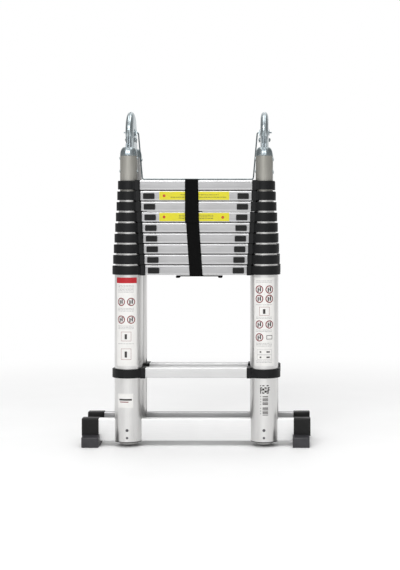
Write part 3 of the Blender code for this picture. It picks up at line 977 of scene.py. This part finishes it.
def strap_shift(height, low, high):
    """How far the strap leans along the rung at this height."""
    known = ((low, STRAP_LOW_SHIFT), (STRAP_JOIN_Z, STRAP_JOIN_SHIFT), (high, FLAP_SHIFT))
    (z, shift), (next_z, next_shift) = known[:2] if height < STRAP_JOIN_Z else known[1:]
    return shift + (height - z) / (next_z - z) * (next_shift - shift)


def loop_outline(low, high, inset, corner):
    """A loop round the folded stack, in Y and Z, with its long sides cut into short steps."""
    outline = rounded(low.y + inset, high.y - inset, low.z + inset, high.z - inset, corner)
    stepped = []
    for (y, z), (next_y, next_z) in zip(outline, outline[1:] + outline[:1]):
        pieces = 10 if abs(next_z - z) > 0.05 else 1
        stepped += [(y + (next_y - y) * i / pieces, z + (next_z - z) * i / pieces) for i in range(pieces)]
    return stepped


def strap_band(low, high):
    """The closed loop of webbing, which leans a little."""
    outer = loop_outline(low, high, 0.0, 0.006)
    inner = loop_outline(low, high, STRAP_THICKNESS, 0.004)
    shape = bmesh.new()
    rings = []
    for outline, x in ((outer, low.x), (outer, high.x), (inner, high.x), (inner, low.x)):
        rings.append([shape.verts.new((x + strap_shift(z, low.z, high.z), y, z)) for y, z in outline])
    skin(shape, rings + rings[:1])
    bmesh.ops.recalc_face_normals(shape, faces=shape.faces)
    return soften(mesh_object("strap_band", mesh_of("strap_band", shape), WEBBING), 0.0005)


def strap_flap(low, high):
    """The end that overlaps the front of the loop and is turned over its top."""
    front, top, flap = low.y, high.z, FLAP_THICKNESS
    outline = [(front - 0.0002, STRAP_JOIN_Z), (front - 0.0002, top - 0.003), (front + 0.003, top + 0.0003),
               (front + 0.020, top + 0.0003), (front + 0.020, top + flap), (front + 0.001, top + flap),
               (front - flap, top - 0.001), (front - flap, STRAP_JOIN_Z)]
    return soften(prism("flap", [outline], low.x + FLAP_SHIFT, high.x + FLAP_SHIFT, WEBBING, ALONG_X), 0.0005)


def strap():
    """The hook-and-loop strap round both stacks of rungs."""
    low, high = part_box("strap")
    made = joined("strap_band", [strap_band(low, high), strap_flap(low, high)])
    attach(made, "front_base", "webbing", "strap")


def handle():
    """The carrying handle under the stack: a flat band with thick ends."""
    low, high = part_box("carry_handle")
    top, thin, thick, end = high.z, 0.0020, high.z - low.z, 0.013
    outline = [(low.x, top), (low.x, top - thick + 0.0015), (low.x + 0.0015, top - thick),
               (low.x + end - 0.003, top - thick), (low.x + end, top - thin)]
    outline += [(high.x + low.x - u, v) for u, v in reversed(outline)]
    band = soften(prism("handle_band", [outline], -high.y, -low.y, WEBBING, FACING), 0.0006)
    attach(band, "front_base", "webbing", "carry_handle")


# Plain labels

FILM_LIFT = 0.00012  # how far a label's film stands out of the metal
INK_LIFT = 0.00022  # and what is printed on it


class Label:
    """A printed film on the front of a tube, or of a flat rung, with plain marks printed on it."""

    def __init__(self, name, radius=None):
        self.name = name
        self.radius = radius
        self.shape = bmesh.new()
        self.finishes = []

    def face(self, corners, finish, lift):
        """Adds a face from distances round the tube and heights, standing out by the lift."""
        if finish not in self.finishes:
            self.finishes.append(finish)
        points = [(u, -lift, v) for u, v in corners]
        if self.radius:
            reach = self.radius + lift
            points = [(reach * sin(u / self.radius), -reach * cos(u / self.radius), v) for u, v in corners]
        made = self.shape.faces.new([self.shape.verts.new(point) for point in points])
        made.material_index = self.finishes.index(finish)

    def bar(self, left, right, low, high, finish, lift=INK_LIFT):
        """A rectangle, cut into narrow columns where it goes round a tube."""
        columns = max(1, ceil((right - left) / 0.003)) if self.radius else 1
        for i in range(columns):
            start = left + (right - left) * i / columns
            end = left + (right - left) * (i + 1) / columns
            self.face([(start, low), (end, low), (end, high), (start, high)], finish, lift)

    def frame(self, left, right, low, high, line, finish):
        self.bar(left, right, low, low + line, finish)
        self.bar(left, right, high - line, high, finish)
        self.bar(left, left + line, low + line, high - line, finish)
        self.bar(right - line, right, low + line, high - line, finish)

    def ring(self, u, v, outer, inner, finish):
        around, within = circle(outer, 24, (u, v)), circle(inner, 24, (u, v))
        for i in range(24):
            j = (i + 1) % 24
            self.face([within[i], around[i], around[j], within[j]], finish, INK_LIFT)

    def lines(self, left, right, high, count, pitch, thickness, finish):
        """Rows of dashes of uneven length, in the place of small print."""
        for row in range(count):
            u, step = left, row
            top = high - row * pitch
            while u < right:
                dash = 0.0025 + 0.0017 * ((step * 5 + 2) % 4)
                self.bar(u, min(u + dash, right), top - thickness, top, finish)
                u += dash + 0.0013
                step += 1


def sign(label, u, v, size):
    """A ring with plain blocks inside."""
    label.ring(u, v, size, size * 0.76, RED_INK)
    label.bar(u - size * 0.45, u - size * 0.15, v - size * 0.60, v + size * 0.45, DARK_INK)
    label.bar(u + size * 0.10, u + size * 0.42, v - size * 0.45, v + size * 0.60, DARK_INK)
    label.bar(u - size * 0.15, u + size * 0.10, v - size * 0.15, v + size * 0.10, GREY_INK)


SIGN_SIZE = 0.0120
SIGN_OFFSET = 0.015  # from a label's middle to its signs


def sign_row(label, turn, v, size):
    for offset in (-SIGN_OFFSET, SIGN_OFFSET):
        sign(label, turn + offset, v, size)


def sign_and_book_row(label, turn, v, size):
    sign(label, turn - SIGN_OFFSET, v, size)
    label.frame(turn + 0.006, turn + 0.024, v - size / 2, v + size / 2, 0.0016, DARK_INK)


def frame_row(label, turn, v, size):
    label.frame(turn - SIGN_OFFSET, turn + SIGN_OFFSET, v - size, v + size, 0.0008, RED_INK)
    label.bar(turn - 0.004, turn + 0.003, v - size * 0.6, v + size * 0.5, DARK_INK)


def table_row(label, turn, v, size):
    label.frame(turn - 0.022, turn + 0.022, v - size, v + size, 0.0006, GREY_INK)
    for left, right in ((-0.014, -0.009), (0.006, 0.016)):
        label.bar(turn + left, turn + right, v - size * 0.3, v + size * 0.3, DARK_INK)


def line_rows(label, turn, v, count):
    left, right = turn - LEG_LABEL_HALF + 0.007, turn + LEG_LABEL_HALF - 0.010
    label.lines(left, right, v, count, 0.0040, 0.0012, GREY_INK)


LEG_LABEL_LOW, LEG_LABEL_HIGH = 0.2365, 0.4935
LEG_LABEL_HALF = 0.0325


def leg_label(name, turn, header, rows):
    """A tall white label. Each row is (function, height as a share of the label, size or number of lines)."""
    label = Label(name, BASE_RADIUS)
    left, right = turn - LEG_LABEL_HALF, turn + LEG_LABEL_HALF
    label.bar(left, right, LEG_LABEL_LOW, LEG_LABEL_HIGH, WHITE_FILM, FILM_LIFT)
    if header:
        label.bar(left, right, LEG_LABEL_HIGH - header, LEG_LABEL_HIGH, RED_FILM)
    for add_row, share, size in rows:
        add_row(label, turn, LEG_LABEL_LOW + (LEG_LABEL_HIGH - LEG_LABEL_LOW) * share, size)
    return label


LEFT_ROWS = (
    (line_rows, 0.915, 6), (sign_row, 0.725, SIGN_SIZE), (line_rows, 0.655, 3), (sign_row, 0.525, SIGN_SIZE),
    (line_rows, 0.455, 3), (frame_row, 0.335, 0.0135), (line_rows, 0.255, 1), (frame_row, 0.135, 0.0160),
)
RIGHT_ROWS = (
    (line_rows, 0.965, 2), (sign_row, 0.865, SIGN_SIZE), (sign_row, 0.760, SIGN_SIZE), (line_rows, 0.695, 1),
    (frame_row, 0.620, 0.0125), (line_rows, 0.555, 2), (sign_row, 0.470, SIGN_SIZE), (line_rows, 0.410, 2),
    (sign_and_book_row, 0.325, SIGN_SIZE), (line_rows, 0.260, 3), (table_row, 0.160, 0.0070),
    (table_row, 0.100, 0.0070), (line_rows, 0.060, 2),
)


def small_label():
    """A small white label with two plain strokes."""
    label = Label("left_small_label", BASE_RADIUS)
    label.bar(-0.030, 0.018, 0.1155, 0.1565, WHITE_FILM, FILM_LIFT)
    label.bar(-0.024, 0.014, 0.1365, 0.1415, DARK_INK)
    label.bar(-0.022, 0.004, 0.1310, 0.1335, RED_INK)
    return label


CELLS = 9
CELL = 0.0031
STRIPES = 14
STRIPE_PITCH = 0.0038


def pattern_label():
    """A chequered patch over two runs of stripes. They follow a simple rule and encode nothing."""
    label = Label("right_small_label", BASE_RADIUS)
    for row in range(CELLS):
        for column in range(CELLS):
            if (3 * row * row + 7 * column + 5 * row * column) % 7 > 2:
                u, v = -0.011 + column * CELL, 0.1535 + row * CELL
                label.bar(u, u + CELL, v, v + CELL, DARK_INK)
    for i in range(STRIPES):
        v = 0.0935 + i * STRIPE_PITCH + (0.0 if i < STRIPES / 2 else 0.004)
        label.bar(-0.004, 0.012, v, v + (0.0024 if i % 3 else 0.0014), DARK_INK)
        if i % 2:
            label.bar(-0.011, -0.008, v, v + 0.003, GREY_INK)
    return label


def tube_labels():
    """The labels on the two front base tubes, in plain shapes with no lettering."""
    left = leg_label("left_leg_label", -0.0030, 0.0165, LEFT_ROWS)
    right = leg_label("right_leg_label", 0.0013, 0.0, RIGHT_ROWS)
    for label, side in ((left, -1), (right, 1), (small_label(), -1), (pattern_label(), 1)):
        stick(label, "front_base", side * STILE_X, -SECTION_Y)


def rung_labels():
    """The two yellow strips across the stack."""
    face = -SECTION_Y - RUNG_DEPTH / 2
    for stage in (8, 6):
        strip = Label(f"yellow_strip_{stage}")
        height = RUNG_Z[stage]
        strip.bar(-0.107, 0.097, height - 0.0122, height + 0.0122, YELLOW_FILM, FILM_LIFT)
        if stage == 8:
            strip.lines(-0.045, 0.066, height + 0.0035, 1, 0.0, 0.0014, DARK_INK)
            strip.lines(-0.074, 0.088, height - 0.0035, 1, 0.0, 0.0016, DARK_INK)
        else:
            strip.lines(-0.050, 0.050, height + 0.0060, 3, 0.0050, 0.0014, DARK_INK)
            strip.ring(0.078, height - 0.001, 0.0040, 0.0008, RED_FILM)
        strip.ring(-0.093, height, 0.0040, 0.0008, RED_FILM)
        stick(strip, f"front_stage_{stage}", 0.0, face)


def stick(label, body, x, y):
    """Turns a label into a piece in its place and lets it ride on a body."""
    mesh = mesh_of(label.name, label.shape)
    mesh.transform(Matrix.Translation((x, y, 0.0)))
    for finish in label.finishes:
        mesh.materials.append(finish)
    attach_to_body(linked(label.name, mesh), body)


# Room, light and camera

FRONT_LIGHT = 1.05
SIDE_LIGHT = 0.28


def build_room():
    shape = bmesh.new()
    bmesh.ops.create_circle(shape, cap_ends=True, radius=14.0, segments=96)
    finish = floor_paint("floor_paint", 0.7, 2.4)
    mesh_object("studio_floor", mesh_of("studio_floor", shape), finish)


def build_world():
    """White to the eye; to the object, white in front, above and behind, and greyer at both sides."""
    world = bpy.data.worlds.new("studio")
    bpy.context.scene.world = world
    world.use_nodes = True
    world.node_tree.nodes.clear()
    sky = Graph(world.node_tree)
    aside = sky.math("ABSOLUTE", sky.along("Generated", "X"))
    strength = sky.smooth_step(aside, From_Min=0.12, From_Max=0.75, To_Min=FRONT_LIGHT, To_Max=SIDE_LIGHT)
    around, white = (sky.add("ShaderNodeBackground") for _ in range(2))
    settle(around, Color=WHITE)
    settle(white, Color=WHITE)
    sky.link(strength, around.inputs["Strength"])
    seen = sky.add("ShaderNodeLightPath").outputs["Is Camera Ray"]
    mixed = sky.mixed_shader(seen, around.outputs["Background"], white.outputs["Background"])
    sky.link(mixed, sky.add("ShaderNodeOutputWorld").inputs["Surface"])


def area_light(name, place, target, width, height, power):
    data = bpy.data.lights.new(name, "AREA")
    data.shape = "RECTANGLE"
    data.size, data.size_y = width, height
    data.energy = power
    lamp = linked(name, data)
    lamp.location = place
    lamp.rotation_euler = (Vector(target) - Vector(place)).to_track_quat("-Z", "Y").to_euler()


def build_lights():
    area_light("key_softbox", (-0.6, -3.2, 2.4), (0.0, 0.0, 0.5), 1.6, 1.2, 45.0)
    area_light("top_softbox", (0.0, -0.2, 3.2), (0.0, 0.0, 0.4), 2.4, 2.0, 30.0)


CAMERA_PLACE = (0.261, -3.87, 0.688)
CAMERA_LENS = 82.1
CAMERA_SHIFT = (-0.150, -0.1307)


def build_camera():
    data = bpy.data.cameras.new("camera")
    data.lens = CAMERA_LENS
    data.shift_x, data.shift_y = CAMERA_SHIFT
    camera = linked("camera", data)
    camera.location = CAMERA_PLACE
    camera.rotation_euler = (pi / 2, 0.0, 0.0)
    bpy.context.scene.camera = camera


# The whole model

front, rear = Section("front"), Section("rear")
build_camera()
bpy.context.scene.view_settings.view_transform = "Standard"
for section in (front, rear):
    for stage in range(1, STAGES + 1):
        build_stage(section, stage)
    build_lower_rung(section)
    build_feet(section)
build_hinges(front, rear)
strap()
handle()
tube_labels()
rung_labels()
build_room()
build_world()
build_lights()
